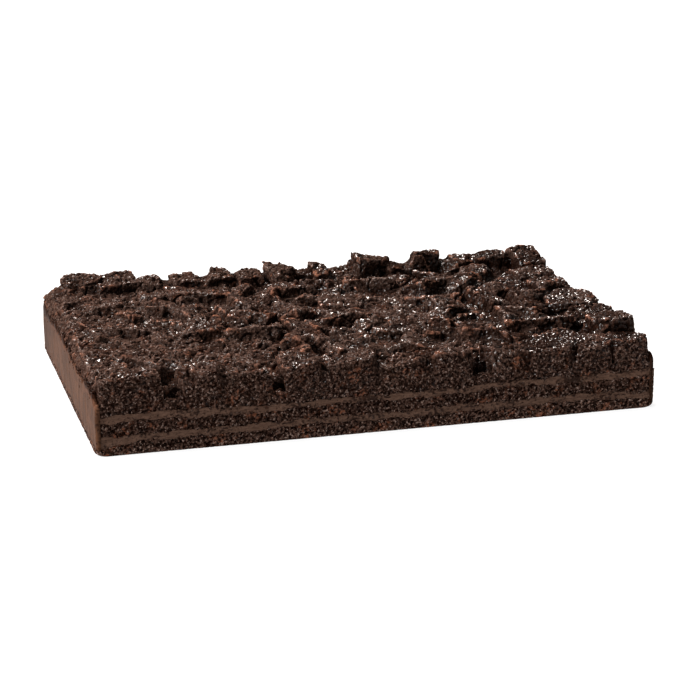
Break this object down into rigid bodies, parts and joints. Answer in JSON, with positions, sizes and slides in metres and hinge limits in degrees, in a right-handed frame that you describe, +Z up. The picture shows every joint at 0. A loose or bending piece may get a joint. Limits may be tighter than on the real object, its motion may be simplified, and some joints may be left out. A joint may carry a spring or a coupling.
{
  "type": "chocolate layer cake slab",
  "caption": "Oblong slab of chocolate layer cake: dark sponge and cream in thin layers, icing on the uncut sides, and torn glazed cake chunks heaped over the top.",
  "frame": {"origin": "middle of the slab's underside, on the surface it rests on", "axes": "+X along the cut front from left to right as its viewer sees it, +Z up, -Y out of the cut front"},
  "size_m": [0.3, 0.195, 0.0465],
  "materials": {
    "sponge": "matte, open crumb",
    "cream": "smooth, soft sheen",
    "icing": "smooth, soft sheen",
    "chunks": "open crumb, glazed on top"
  },
  "bodies": {
    "root": {"sponge_base": "sponge", "cream_lower": "cream", "sponge_middle": "sponge", "cream_upper": "cream", "side_icing": "icing", "cake_chunk_topping": "chunks"}
  },
  "joints": []
}
